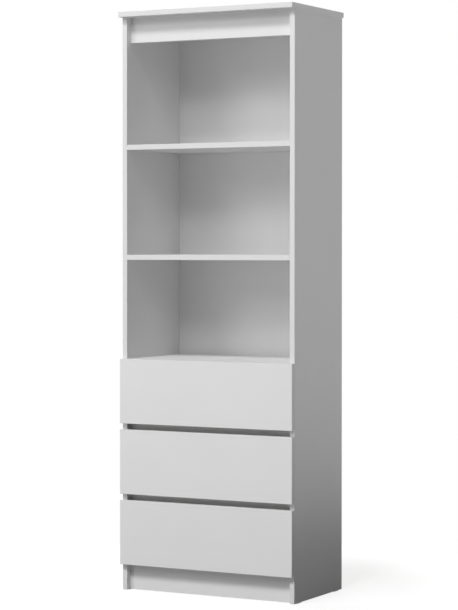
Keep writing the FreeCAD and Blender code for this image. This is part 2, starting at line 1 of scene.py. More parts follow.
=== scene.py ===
# %% [markdown]
# # A white bookcase with three bottom drawers
# The real object is flat-pack furniture: white laminated particle board, held by cam locks and dowels,
# with a thin folding back panel and drawers that roll on steel runners.
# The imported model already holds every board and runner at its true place, so this lesson only dresses it:
# it gives each surface its finish, adds the small fasteners and moulded rollers, and sets up the studio.
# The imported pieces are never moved. New pieces are placed from their boxes, in metres.

import math

import bmesh
import bpy
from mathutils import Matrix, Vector


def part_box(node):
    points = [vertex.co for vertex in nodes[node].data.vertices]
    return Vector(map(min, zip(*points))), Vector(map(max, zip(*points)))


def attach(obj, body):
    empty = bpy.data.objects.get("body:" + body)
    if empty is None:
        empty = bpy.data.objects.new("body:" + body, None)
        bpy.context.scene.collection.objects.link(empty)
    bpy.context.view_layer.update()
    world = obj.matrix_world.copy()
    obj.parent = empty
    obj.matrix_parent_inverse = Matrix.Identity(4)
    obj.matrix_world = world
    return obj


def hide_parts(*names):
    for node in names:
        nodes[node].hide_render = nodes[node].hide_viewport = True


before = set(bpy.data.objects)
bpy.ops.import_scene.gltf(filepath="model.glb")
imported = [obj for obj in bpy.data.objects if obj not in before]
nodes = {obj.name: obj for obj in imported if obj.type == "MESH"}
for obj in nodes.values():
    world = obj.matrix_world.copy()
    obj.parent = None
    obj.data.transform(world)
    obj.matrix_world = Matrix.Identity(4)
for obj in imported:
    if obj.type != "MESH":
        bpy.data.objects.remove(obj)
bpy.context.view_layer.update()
DRAWERS = (1, 2, 3)
SIDES = {"left": -1, "right": 1}
MM = 0.001

# %% [markdown]
# ## Two small helpers for every material
# A material is a tree of nodes. Writing each node by hand takes many lines, so one function adds a node,
# sets its options and values, and links its inputs. Colours are written as the hex values that a colour
# picker shows, and a second function turns them into the linear light values that the sockets hold.

# %% Helpers for colours and nodes


def linear(hex_colour):
    """The linear colour of an sRGB hex value such as #E6E6E4."""
    shares = [int(hex_colour[start:start + 2], 16) / 255 for start in (1, 3, 5)]
    light = [s / 12.92 if s <= 0.04045 else ((s + 0.055) / 1.055) ** 2.4 for s in shares]
    return (*light, 1.0)


def input_of(node, key):
    """A node's input by its identifier, or else by its name or number."""
    matches = [item for item in node.inputs if item.identifier == key]
    return matches[0] if matches else node.inputs[key]


def output_of(source):
    """A node's first output in use, or the output itself."""
    if isinstance(source, bpy.types.NodeSocket):
        return source
    return next(item for item in source.outputs if item.enabled)


def add_node(tree, kind, links=None, values=None, **options):
    """Adds a node with its options, its plain input values and what each input links to."""
    node = tree.nodes.new(kind)
    for name, option in options.items():
        setattr(node, name, option)
    for key, value in (values or {}).items():
        input_of(node, key).default_value = value
    for key, source in (links or {}).items():
        for one in source if isinstance(source, list) else [source]:
            tree.links.new(output_of(one), input_of(node, key))
    return node


def new_material(name):
    """An empty material and its tree."""
    material = bpy.data.materials.new(name)
    material.use_nodes = True
    material.node_tree.nodes.clear()
    return material, material.node_tree


print("white reads", [round(c, 3) for c in linear("#FFFFFF")[:3]])

# %% [markdown]
# ## White melamine board
# The boards are particle board with a white melamine film pressed on both faces, under a steel plate that
# leaves a fine pearl grain. A plastic band is glued round the edges that show: it is a touch smoother and
# greyer than the film. Edges that face the wall or the floor stay bare and show the wood chips.
# One tree makes all of that. It asks which way the surface faces: along the board's thickness it is film,
# towards a bare side it is chips, and everywhere else it is band. Reading the direction keeps the boards'
# own meshes as they are, where painting each face would need a new mesh.

# %% Melamine film, edge band and bare chips
PEARL_GRAIN = 5 * MM  # the real grain is about 1 mm across, and is drawn coarser so that it shows
PEARL_DETAIL = {"Detail": 3.0, "Roughness": 0.6}
FILM_CLOUD = 180 * MM
CLOUD_DETAIL = {"Detail": 2.0}
CHIP_LENGTH = 3 * MM
FILM_TONES = (linear("#E3E3E3"), linear("#E8E8E8"))
BAND_COLOUR = linear("#E1E1E1")
CHIP_TONES = (linear("#8A6A42"), linear("#B8966A"), linear("#D8BE94"))
FILM_ROUGHNESS = (0.5, 0.64)
BAND_ROUGHNESS = 0.48
CHIP_ROUGHNESS = 0.85
BOARD_BUMP = {"Strength": 0.06, "Distance": 0.4 * MM}
RESIN_IOR = 1.5
FACING_LIMIT = 0.7  # a surface counts as facing a way within about 45 degrees of it


def melamine_board(name, thickness_axis, bare_side=(0, 0, 0)):
    """White melamine-faced particle board whose film faces look along the thickness axis."""
    material, tree = new_material(name)
    place = add_node(tree, "ShaderNodeTexCoord")
    spot, facing = place.outputs["Object"], place.outputs["Normal"]

    along = add_node(tree, "ShaderNodeVectorMath", {0: facing}, {1: thickness_axis}, operation="DOT_PRODUCT")
    size = add_node(tree, "ShaderNodeMath", {0: along}, operation="ABSOLUTE")
    film = add_node(tree, "ShaderNodeMath", {0: size}, {1: FACING_LIMIT}, operation="GREATER_THAN")
    towards = add_node(tree, "ShaderNodeVectorMath", {0: facing}, {1: bare_side}, operation="DOT_PRODUCT")
    bare = add_node(tree, "ShaderNodeMath", {0: towards}, {1: FACING_LIMIT}, operation="GREATER_THAN")

    cloud = add_node(tree, "ShaderNodeTexNoise", {"Vector": spot}, {"Scale": 1 / FILM_CLOUD, **CLOUD_DETAIL})
    tone = add_node(
        tree,
        "ShaderNodeMix",
        {"Factor_Float": cloud},
        {"A_Color": FILM_TONES[0], "B_Color": FILM_TONES[1]},
        data_type="RGBA",
    )
    skin = add_node(
        tree,
        "ShaderNodeMix",
        {"Factor_Float": film, "B_Color": tone},
        {"A_Color": BAND_COLOUR},
        data_type="RGBA",
    )

    chips = add_node(
        tree, "ShaderNodeTexVoronoi", {"Vector": spot}, {"Scale": 1 / CHIP_LENGTH, "Randomness": 1.0}
    )
    chip_tone = add_node(tree, "ShaderNodeValToRGB", {"Fac": chips.outputs["Color"]})
    chip_tone.color_ramp.elements.new(0.5)
    for element, colour in zip(chip_tone.color_ramp.elements, CHIP_TONES):
        element.color = colour
    colour = add_node(
        tree,
        "ShaderNodeMix",
        {"Factor_Float": bare, "A_Color": skin, "B_Color": chip_tone.outputs["Color"]},
        data_type="RGBA",
    )

    pearl = add_node(
        tree, "ShaderNodeTexNoise", {"Vector": spot}, {"Scale": 1 / PEARL_GRAIN, **PEARL_DETAIL}
    )
    film_roughness = add_node(
        tree,
        "ShaderNodeMapRange",
        {"Value": pearl},
        {"To Min": FILM_ROUGHNESS[0], "To Max": FILM_ROUGHNESS[1]},
    )
    skin_roughness = add_node(
        tree,
        "ShaderNodeMix",
        {"Factor_Float": film, "B_Float": film_roughness},
        {"A_Float": BAND_ROUGHNESS},
    )
    roughness = add_node(
        tree,
        "ShaderNodeMix",
        {"Factor_Float": bare, "A_Float": skin_roughness},
        {"B_Float": CHIP_ROUGHNESS},
    )
    relief = add_node(
        tree,
        "ShaderNodeMix",
        {"Factor_Float": bare, "A_Float": pearl, "B_Float": chips.outputs["Distance"]},
    )
    bump = add_node(tree, "ShaderNodeBump", {"Height": relief}, BOARD_BUMP)
    shader = add_node(
        tree,
        "ShaderNodeBsdfPrincipled",
        {"Base Color": colour, "Roughness": roughness, "Normal": bump},
        {"IOR": RESIN_IOR},
    )
    add_node(tree, "ShaderNodeOutputMaterial", {"Surface": shader})
    return material


upright_board = melamine_board("white_melamine_upright_board", (1, 0, 0), bare_side=(0, 1, -1))
level_board = melamine_board("white_melamine_level_board", (0, 0, 1), bare_side=(0, 1, 0))
front_board = melamine_board("white_melamine_front_board", (0, 1, 0))
plinth_board = melamine_board("white_melamine_plinth_board", (0, 1, 0), bare_side=(0, 0, -1))
print("made", [m.name for m in (upright_board, level_board, front_board, plinth_board)])

# %% [markdown]
# ## Hardboard sheets
# The back and the drawer bottoms are 3 mm hardboard: wood fibre pressed into a dense brown sheet, with
# white lacquer rolled on the side that shows. The back comes folded in half: the fold is a groove in its
# brown side, and the lacquer bridges it, so the white side stays plain. The same question as before, which
# way the surface faces, tells lacquer from bare fibre.

# %% Lacquered hardboard
FIBRE_WIDTH = 1.5 * MM
FIBRE_DETAIL = {"Detail": 5.0, "Distortion": 1.2}
LACQUER_CLOUD = 120 * MM
LACQUER_TONES = (linear("#E0E0E0"), linear("#E6E6E6"))
FIBRE_TONES = (linear("#8A6845"), linear("#A98A64"))
FIBRE_ROUGHNESS, LACQUER_ROUGHNESS = 0.7, 0.5
SHEET_BUMP = {"Strength": 0.05, "Distance": 0.3 * MM}


def lacquered_hardboard(name, white_side):
    """Brown fibre sheet, lacquered white on one side."""
    material, tree = new_material(name)
    place = add_node(tree, "ShaderNodeTexCoord")
    spot, facing = place.outputs["Object"], place.outputs["Normal"]
    towards = add_node(tree, "ShaderNodeVectorMath", {0: facing}, {1: white_side}, operation="DOT_PRODUCT")
    white = add_node(tree, "ShaderNodeMath", {0: towards}, {1: FACING_LIMIT}, operation="GREATER_THAN")

    cloud = add_node(
        tree, "ShaderNodeTexNoise", {"Vector": spot}, {"Scale": 1 / LACQUER_CLOUD, **CLOUD_DETAIL}
    )
    lacquer = add_node(
        tree,
        "ShaderNodeMix",
        {"Factor_Float": cloud},
        {"A_Color": LACQUER_TONES[0], "B_Color": LACQUER_TONES[1]},
        data_type="RGBA",
    )

    fibre = add_node(
        tree, "ShaderNodeTexNoise", {"Vector": spot}, {"Scale": 1 / FIBRE_WIDTH, **FIBRE_DETAIL}
    )
    brown = add_node(
        tree,
        "ShaderNodeMix",
        {"Factor_Float": fibre},
        {"A_Color": FIBRE_TONES[0], "B_Color": FIBRE_TONES[1]},
        data_type="RGBA",
    )
    colour = add_node(
        tree,
        "ShaderNodeMix",
        {"Factor_Float": white, "A_Color": brown, "B_Color": lacquer},
        data_type="RGBA",
    )
    roughness = add_node(
        tree,
        "ShaderNodeMapRange",
        {"Value": white},
        {"To Min": FIBRE_ROUGHNESS, "To Max": LACQUER_ROUGHNESS},
    )
    bump = add_node(tree, "ShaderNodeBump", {"Height": fibre}, SHEET_BUMP)
    shader = add_node(
        tree,
        "ShaderNodeBsdfPrincipled",
        {"Base Color": colour, "Roughness": roughness, "Normal": bump},
        {"IOR": RESIN_IOR},
    )
    add_node(tree, "ShaderNodeOutputMaterial", {"Surface": shader})
    return material


back_sheet = lacquered_hardboard("white_lacquered_hardboard_back", (0, -1, 0))
drawer_sheet = lacquered_hardboard("white_lacquered_hardboard_drawer_bottom", (0, 0, 1))
print("made", back_sheet.name, "and", drawer_sheet.name)

# %% [markdown]
# ## Metals, plastics and beech
# The rest of the finishes share one recipe: a noise gives two tones, a range of roughness and a fine relief.
# What differs is what the real material is and how it was made. Enamelled steel has the orange peel of a
# baked powder coat. Nylon and polyethylene are moulded and waxy. The cams are zinc, cast in a die, and
# the screws, nails and bolts are steel with a thin zinc plating. Dowels are beech, so their noise is
# drawn out along the grain.

# %% Small finishes
FINE_DETAIL = {"Detail": 4.0, "Roughness": 0.55}
FINE_RELIEF = 0.2 * MM


def fine_finish(name, tones, grain, dullness, bumps, metallic=0.0, ior=RESIN_IOR, stretch=(1, 1, 1)):
    """Two tones, a range of roughness and a relief from one noise whose grain is a real size in metres."""
    material, tree = new_material(name)
    place = add_node(tree, "ShaderNodeTexCoord")
    drawn_out = add_node(tree, "ShaderNodeMapping", {"Vector": place.outputs["Object"]}, {"Scale": stretch})
    noise = add_node(
        tree,
        "ShaderNodeTexNoise",
        {"Vector": drawn_out},
        {"Scale": 1 / grain, **FINE_DETAIL},
    )
    colour = add_node(
        tree,
        "ShaderNodeMix",
        {"Factor_Float": noise},
        {"A_Color": linear(tones[0]), "B_Color": linear(tones[1])},
        data_type="RGBA",
    )
    roughness = add_node(
        tree,
        "ShaderNodeMapRange",
        {"Value": noise},
        {"To Min": dullness[0], "To Max": dullness[1]},
    )
    bump = add_node(
        tree, "ShaderNodeBump", {"Height": noise}, {"Strength": bumps, "Distance": FINE_RELIEF}
    )
    shader = add_node(
        tree,
        "ShaderNodeBsdfPrincipled",
        {"Base Color": colour, "Roughness": roughness, "Normal": bump},
        {"Metallic": metallic, "IOR": ior},
    )
    add_node(tree, "ShaderNodeOutputMaterial", {"Surface": shader})
    return material


# Baked powder coat: soft gloss with a shallow orange peel
enamel = fine_finish(
    "white_enamelled_steel", ("#DEDED9", "#E7E7E2"), grain=2 * MM, dullness=(0.3, 0.42), bumps=0.12
)
# Moulded nylon: waxy and slightly cream
nylon = fine_finish(
    "moulded_nylon", ("#DAD5C6", "#E6E1D3"), grain=4 * MM, dullness=(0.38, 0.5), bumps=0.08, ior=1.53
)
# Moulded polyethylene: dull and greyish white
polyethylene = fine_finish(
    "moulded_polyethylene", ("#C9C8C3", "#D6D5D0"), grain=3 * MM, dullness=(0.45, 0.6), bumps=0.1
)
# Die-cast zinc: grey metal with the dull flow marks of casting
cast_zinc = fine_finish(
    "die_cast_zinc", ("#8F9194", "#B2B4B6"), grain=3 * MM, dullness=(0.38, 0.56), bumps=0.2, metallic=1.0
)
# Zinc-plated steel: brighter, with a faint blue passivation
plated_steel = fine_finish(
    "zinc_plated_steel", ("#A9ADB2", "#C6C9CB"), grain=2 * MM, dullness=(0.22, 0.36), bumps=0.1, metallic=1.0
)
# Turned beech: pinkish wood with short flecks along the grain
beech = fine_finish(
    "turned_beech",
    ("#B48A5E", "#D3AE82"),
    grain=1.2 * MM,
    dullness=(0.55, 0.7),
    bumps=0.2,
    stretch=(0.15, 1, 1),
)
print("made six small finishes")

# %% [markdown]
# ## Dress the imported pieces
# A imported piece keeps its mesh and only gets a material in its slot. Which board finish it takes follows
# from how the board lies: sides stand with their faces along X, shelves lie flat, and fronts and rails
# face the room.

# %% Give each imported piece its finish
finishes = {
    "left_side_panel": upright_board,
    "right_side_panel": upright_board,
    "top_panel": level_board,
    "bottom_panel": level_board,
    "drawer_deck": level_board,
    "middle_shelf": level_board,
    "upper_shelf": level_board,
    "plinth": plinth_board,
    "lower_drawer_rail": front_board,
    "upper_drawer_rail": front_board,
    "top_rail": front_board,
    "back_panel": back_sheet,
    "cam_locks": cast_zinc,
    "cam_bolts": plated_steel,
    "dowels": beech,
}
for side in SIDES:
    for end in ("front", "rear"):
        finishes[f"{end}_{side}_glide"] = polyethylene
for drawer in DRAWERS:
    finishes[f"drawer_{drawer}_front"] = front_board
    finishes[f"drawer_{drawer}_back"] = plinth_board
    finishes[f"drawer_{drawer}_bottom"] = drawer_sheet
    for end in ("front", "rear"):
        finishes[f"drawer_{drawer}_{end}_rollers"] = nylon
    for side in SIDES:
        finishes[f"drawer_{drawer}_{side}_side"] = upright_board
        finishes[f"drawer_{drawer}_{side}_cabinet_runner"] = enamel
        finishes[f"drawer_{drawer}_{side}_drawer_runner"] = enamel
for name, node in nodes.items():
    node.data.materials.clear()
    node.data.materials.append(finishes[name])
print(f"dressed {len(finishes)} of {len(nodes)} packed pieces")

# %% [markdown]
# ## Soft board edges
# No real board is knife-sharp: once its band is glued on, the corners are scraped to a small round, which
# catches the light along every edge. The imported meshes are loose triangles, so three modifiers work in a
# row: a Weld joins the triangles, a planar Decimate merges them into whole faces, and a Bevel rounds the
# edges between those. Each board could be modelled again with round edges, but then its bores would have to
# be cut a second time. The drawer rails and the plinth show no edges, and the hardboard is sawn, so they
# stay as they are.

# %% Round the edges of the boards
EDGE_ROUND = 0.8 * MM
EDGE_STEPS = 2
WELD_REACH = 0.01 * MM
FLAT_LIMIT = math.radians(1)
CORNER_LIMIT = math.radians(60)
SHARP_BOARDS = ("lower_drawer_rail", "upper_drawer_rail", "plinth")

boards = (upright_board, level_board, front_board, plinth_board)
rounded = [name for name, finish in finishes.items() if finish in boards and name not in SHARP_BOARDS]
for name in rounded:
    weld = nodes[name].modifiers.new("join_triangles", "WELD")
    weld.merge_threshold = WELD_REACH
    whole = nodes[name].modifiers.new("whole_faces", "DECIMATE")
    whole.decimate_type = "DISSOLVE"
    whole.angle_limit = FLAT_LIMIT
    bevel = nodes[name].modifiers.new("scraped_corners", "BEVEL")
    bevel.width = EDGE_ROUND
    bevel.segments = EDGE_STEPS
    bevel.limit_method = "ANGLE"
    bevel.angle_limit = CORNER_LIMIT
    bevel.use_clamp_overlap = False
print(f"rounded the edges of {len(rounded)} boards")

# %% [markdown]
# ## Trees that repeat a fastener
# Nails, rivets, screws and cams each have one shape that repeats, so Geometry Nodes make them: a tree
# models one head from named sizes and puts a copy on every place it is given. A head could be copied in a
# Python loop as well, but a tree keeps its sizes as inputs that a person can change later.
# An exported model has no copies, only meshes, so each tree ends by turning its copies into one mesh with
# its material, and the result is kept as a plain mesh.

# %% Helpers for the trees
LENGTH = "NodeSocketFloat"
MATERIAL = "NodeSocketMaterial"


def new_tree(name, inputs):
    """A Geometry Nodes tree with named inputs, and the sockets that give them."""
    tree = bpy.data.node_groups.new(name, "GeometryNodeTree")
    tree.interface.new_socket("Geometry", in_out="INPUT", socket_type="NodeSocketGeometry")
    for label, kind in inputs.items():
        tree.interface.new_socket(label, in_out="INPUT", socket_type=kind)
    tree.interface.new_socket("Geometry", in_out="OUTPUT", socket_type="NodeSocketGeometry")
    return tree, add_node(tree, "NodeGroupInput").outputs


def finish_tree(tree, given, places, head, turn):
    """Puts a head on every place, makes the copies real and gives them their material."""
    copies = add_node(
        tree, "GeometryNodeInstanceOnPoints", {"Points": places, "Instance": head, "Rotation": turn}
    )
    real = add_node(tree, "GeometryNodeRealizeInstances", {"Geometry": copies})
    dressed = add_node(
        tree, "GeometryNodeSetMaterial", {"Geometry": real, "Material": given["Material"]}
    )
    add_node(tree, "NodeGroupOutput", {"Geometry": dressed})


def turned_to(tree, attribute, axis, links=None, pivot="AUTO"):
    """A rotation that turns one axis of the head to the direction stored on its place."""
    direction = add_node(
        tree, "GeometryNodeInputNamedAttribute", values={"Name": attribute}, data_type="FLOAT_VECTOR"
    )
    links = {"Vector": direction, **(links or {})}
    return add_node(tree, "FunctionNodeAlignRotationToVector", links, axis=axis, pivot_axis=pivot)


def mark_places(places, **directions):
    """A mesh of loose points, each with its directions as attributes."""
    mesh = bpy.data.meshes.new("places")
    mesh.from_pydata(places, [], [])
    for attribute, vectors in directions.items():
        layer = mesh.attributes.new(attribute, "FLOAT_VECTOR", "POINT")
        layer.data.foreach_set("vector", [number for vector in vectors for number in vector])
    return mesh


def grow(tree, name, places, sizes, body):
    """Runs a tree on a mesh of places, keeps the result as a plain mesh and fixes it to its body."""
    piece = bpy.data.objects.new(name, places)
    bpy.context.scene.collection.objects.link(piece)
    modifier = piece.modifiers.new(tree.name, "NODES")
    modifier.node_group = tree
    for item in tree.interface.items_tree:
        if item.in_out == "INPUT" and item.name in sizes:
            modifier[item.identifier] = sizes[item.name]
    grown = piece.evaluated_get(bpy.context.evaluated_depsgraph_get())
    mesh = bpy.data.meshes.new_from_object(grown)
    piece.modifiers.remove(modifier)
    piece.data = mesh
    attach(piece, body)
    print(f"{name}: {len(mesh.polygons)} faces on {body}")
    return piece


# %% [markdown]
# ## Crowned heads: nails and rivets
# The back is nailed to the rear edges of the sides and shelves with flat-headed nails, and each roller
# turns on a stud that is riveted over. Both heads are a low rim with a shallow crown, made here from two
# stacked cones that are joined into one closed shape. The nails follow straight lines at an even spacing,
# so their tree spaces them along the edges that it is given. The rivets sit on single points.

# %% Nail and rivet trees
HEAD_CORNERS = 24
CROWN_INPUTS = {
    "Head Radius": LENGTH,
    "Rim Height": LENGTH,
    "Crown Radius": LENGTH,
    "Crown Height": LENGTH,
    "Material": MATERIAL,
}


def crowned_head(tree, given):
    """A low rim with a crown on it, standing on z = 0."""
    wide, narrow = given["Head Radius"], given["Crown Radius"]
    layers = []
    for top, height in ((wide, given["Rim Height"]), (narrow, given["Crown Height"])):
        layers.append(
            add_node(
                tree,
                "GeometryNodeMeshCone",
                {"Radius Bottom": wide, "Radius Top": top, "Depth": height},
                {"Vertices": HEAD_CORNERS},
            )
        )
    up = add_node(tree, "ShaderNodeCombineXYZ", {"Z": given["Rim Height"]})
    layers[1] = add_node(tree, "GeometryNodeTransform", {"Geometry": layers[1], "Translation": up})
    return add_node(tree, "GeometryNodeMeshBoolean", {"Mesh 2": layers}, operation="UNION")


nail_tree, given = new_tree("nails_along_edges", {"Spacing": LENGTH, **CROWN_INPUTS})
lines = add_node(nail_tree, "GeometryNodeMeshToCurve", {"Mesh": given["Geometry"]})
spaced = add_node(
    nail_tree, "GeometryNodeResampleCurve", {"Curve": lines, "Length": given["Spacing"]}, mode="LENGTH"
)
backwards = add_node(
    nail_tree, "FunctionNodeAlignRotationToVector", values={"Vector": (0, 1, 0)}, axis="Z"
)
finish_tree(nail_tree, given, spaced, crowned_head(nail_tree, given), backwards)

rivet_tree, given = new_tree("rivets_on_points", CROWN_INPUTS)
outwards = turned_to(rivet_tree, "facing", "Z")
finish_tree(rivet_tree, given, given["Geometry"], crowned_head(rivet_tree, given), outwards)
print("trees", nail_tree.name, "and", rivet_tree.name)

# %% Nails in the back panel
NAIL_SIZES = {
    "Spacing": 150 * MM,
    "Head Radius": 3.2 * MM,
    "Rim Height": 0.35 * MM,
    "Crown Radius": 1.6 * MM,
    "Crown Height": 0.25 * MM,
    "Material": plated_steel,
}
SHELF_NAIL_INSET = 54 * MM
TOP_NAIL_INSET = 16 * MM


def middle_of(node):
    """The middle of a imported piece's box."""
    low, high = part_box(node)
    return (low + high) / 2


shelves = ("bottom_panel", "drawer_deck", "middle_shelf", "upper_shelf")
back_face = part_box("back_panel")[1].y
highest_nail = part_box("back_panel")[1].z - TOP_NAIL_INSET
lowest_nail = middle_of("bottom_panel").z
shelf_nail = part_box("bottom_panel")[1].x - SHELF_NAIL_INSET
ends = []
for side in SIDES:
    x = middle_of(f"{side}_side_panel").x
    ends += [(x, back_face, lowest_nail), (x, back_face, highest_nail)]
for shelf in shelves:
    z = middle_of(shelf).z
    ends += [(-shelf_nail, back_face, z), (shelf_nail, back_face, z)]
nail_lines = bpy.data.meshes.new("nail_lines")
nail_lines.from_pydata(ends, [(start, start + 1) for start in range(0, len(ends), 2)], [])
grow(nail_tree, "back_panel_nails", nail_lines, NAIL_SIZES, "carcass")

# %% Riveted ends of the roller studs
RIVET_SIZES = {
    "Head Radius": 4 * MM,
    "Rim Height": 0.5 * MM,
    "Crown Radius": 2.2 * MM,
    "Crown Height": 0.5 * MM,
    "Material": plated_steel,
}
ROLLER_WIDTH = 6 * MM
ROLLER_PLAY = 0.4 * MM

for drawer in DRAWERS:
    for end in ("front", "rear"):
        axis = middle_of(f"drawer_{drawer}_{end}_rollers")
        outer_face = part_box(f"drawer_{drawer}_{end}_rollers")[1].x
        if end == "front":
            tip, way, body = outer_face - ROLLER_WIDTH - ROLLER_PLAY, -1, "carcass"
        else:
            tip, way, body = outer_face + ROLLER_PLAY, 1, f"drawer_{drawer}"
        places = mark_places(
            [(sign * tip, axis.y, axis.z) for sign in SIDES.values()],
            facing=[(sign * way, 0, 0) for sign in SIDES.values()],
        )
        grow(rivet_tree, f"drawer_{drawer}_{end}_rivets", places, RIVET_SIZES, body)

# %% [markdown]
# ## Recessed heads: screws and cams
# Screws hold the runners and the backs of the drawer boxes, and cam locks hold the boards. What the eye
# sees of each is a round face with a cross recess for the screwdriver. The tree makes that face as a cone
# with a slight bevel and cuts two crossing bars out of it with a Boolean, which leaves clean inner walls.
# A cam also has a slot in its hidden end that takes the head of its bolt, so its tree cuts once more.

# %% Screw and cam trees
RECESS_INPUTS = {
    "Head Radius": LENGTH,
    "Top Radius": LENGTH,
    "Height": LENGTH,
    "Recess Length": LENGTH,
    "Recess Width": LENGTH,
    "Recess Depth": LENGTH,
    "Material": MATERIAL,
}


def cutter(tree, length, width, depth, along="X", across="Y", place=None):
    """A bar that cuts to a depth both above and below its place."""
    both_ways = add_node(tree, "ShaderNodeMath", {0: depth}, {1: 2.0}, operation="MULTIPLY")
    size = add_node(tree, "ShaderNodeCombineXYZ", {along: length, across: width, "Z": both_ways})
    bar = add_node(tree, "GeometryNodeMeshCube", {"Size": size})
    spot = add_node(tree, "ShaderNodeCombineXYZ", place)
    return add_node(tree, "GeometryNodeTransform", {"Geometry": bar, "Translation": spot})


def recessed_head(tree, given, more_cutters=()):
    """A bevelled round head with a cross cut into its top, standing on z = 0."""
    head = add_node(
        tree,
        "GeometryNodeMeshCone",
        {
            "Radius Bottom": given["Head Radius"],
            "Radius Top": given["Top Radius"],
            "Depth": given["Height"],
        },
        {"Vertices": HEAD_CORNERS},
    )
    recess = given["Recess Length"], given["Recess Width"], given["Recess Depth"]
    top = {"Z": given["Height"]}
    cutters = [cutter(tree, *recess, "X", "Y", top), cutter(tree, *recess, "Y", "X", top), *more_cutters]
    return add_node(
        tree, "GeometryNodeMeshBoolean", {"Mesh 1": head, "Mesh 2": cutters}, operation="DIFFERENCE"
    )


screw_tree, given = new_tree("screws_on_points", RECESS_INPUTS)
outwards = turned_to(screw_tree, "facing", "Z")
finish_tree(screw_tree, given, given["Geometry"], recessed_head(screw_tree, given), outwards)

SLOT_INPUTS = {
    "Slot Length": LENGTH,
    "Slot Width": LENGTH,
    "Slot Depth": LENGTH,
    "Slot Offset": LENGTH,
}
cam_tree, given = new_tree("cams_on_points", {**RECESS_INPUTS, **SLOT_INPUTS})
slot = given["Slot Length"], given["Slot Width"], given["Slot Depth"]
slot_cutter = cutter(cam_tree, *slot, place={"X": given["Slot Offset"]})
outwards = turned_to(cam_tree, "facing", "Z")
to_bolt = turned_to(cam_tree, "bolt_side", "X", {"Rotation": outwards}, pivot="Z")
finish_tree(cam_tree, given, given["Geometry"], recessed_head(cam_tree, given, [slot_cutter]), to_bolt)
print("trees", screw_tree.name, "and", cam_tree.name)

# %% Cam locks in the boards
CAM_SIZES = {
    "Head Radius": 7.4 * MM,
    "Top Radius": 7.1 * MM,
    "Height": 12.4 * MM,
    "Recess Length": 8 * MM,
    "Recess Width": 1.8 * MM,
    "Recess Depth": 2.2 * MM,
    "Slot Length": 14.8 * MM,
    "Slot Width": 7.6 * MM,
    "Slot Depth": 8.2 * MM,
    "Slot Offset": 3.6 * MM,
    "Material": cast_zinc,
}
CAM_LINE = -96.5 * MM
CAM_INSET = 24 * MM

cam_places, cam_facing, cam_bolts = [], [], []
for shelf in shelves:
    low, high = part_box(shelf)
    for sign in SIDES.values():
        cam_places.append((sign * (high.x - CAM_INSET), CAM_LINE, low.z + CAM_SIZES["Height"]))
        cam_facing.append((0, 0, -1))
        cam_bolts.append((sign, 0, 0))
for side, sign in SIDES.items():
    low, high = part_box(f"{side}_side_panel")
    inner = min(abs(low.x), abs(high.x)) + CAM_SIZES["Height"]
    cam_places.append((sign * inner, CAM_LINE, high.z - CAM_INSET))
    cam_facing.append((-sign, 0, 0))
    cam_bolts.append((0, 0, 1))
places = mark_places(cam_places, facing=cam_facing, bolt_side=cam_bolts)
cams = grow(cam_tree, "slotted_cam_locks", places, CAM_SIZES, "carcass")
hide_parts("cam_locks")

# %% Cams and screws in the drawer boxes
BOX_CAM_SIZES = {**CAM_SIZES, "Height": 0.6 * MM, "Recess Depth": 0.5 * MM}
BOX_SCREW_SIZES = {
    "Head Radius": 3.5 * MM,
    "Top Radius": 2.9 * MM,
    "Height": 0.5 * MM,
    "Recess Length": 3.6 * MM,
    "Recess Width": 0.9 * MM,
    "Recess Depth": 0.4 * MM,
    "Material": plated_steel,
}
BOX_CAM_INSET = 24 * MM
BOX_FIXING_HEIGHTS = (40 * MM, 105 * MM)

for drawer in DRAWERS:
    cam_places, cam_facing, screw_places, screw_facing = [], [], [], []
    back_middle = middle_of(f"drawer_{drawer}_back").y
    for side, sign in SIDES.items():
        low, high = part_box(f"drawer_{drawer}_{side}_side")
        inner, outer = sorted((abs(low.x), abs(high.x)))
        for height in BOX_FIXING_HEIGHTS:
            cam_places.append((sign * inner, low.y + BOX_CAM_INSET, low.z + height))
            cam_facing.append((-sign, 0, 0))
            screw_places.append((sign * outer, back_middle, low.z + height))
            screw_facing.append((sign, 0, 0))
    places = mark_places(cam_places, facing=cam_facing)
    body = f"drawer_{drawer}"
    grow(screw_tree, f"{body}_box_cams", places, BOX_CAM_SIZES, body)
    places = mark_places(screw_places, facing=screw_facing)
    grow(screw_tree, f"{body}_box_screws", places, BOX_SCREW_SIZES, body)

# %% Screws in the runners
CABINET_SCREW_SIZES = {
    "Head Radius": 3.8 * MM,
    "Top Radius": 2.8 * MM,
    "Height": 0.9 * MM,
    "Recess Length": 3.8 * MM,
    "Recess Width": 0.9 * MM,
    "Recess Depth": 0.7 * MM,
    "Material": plated_steel,
}
DRAWER_SCREW_SIZES = {**CABINET_SCREW_SIZES, "Head Radius": 3.3 * MM, "Top Radius": 2.5 * MM}
RUNNER_SHEET = 1.2 * MM
CABINET_SCREW_PLACES = (37 * MM, 165 * MM, 275 * MM)
DRAWER_SCREW_PLACES = (40 * MM, 150 * MM, 268 * MM)
WRAP_MIDDLE = 4 * MM

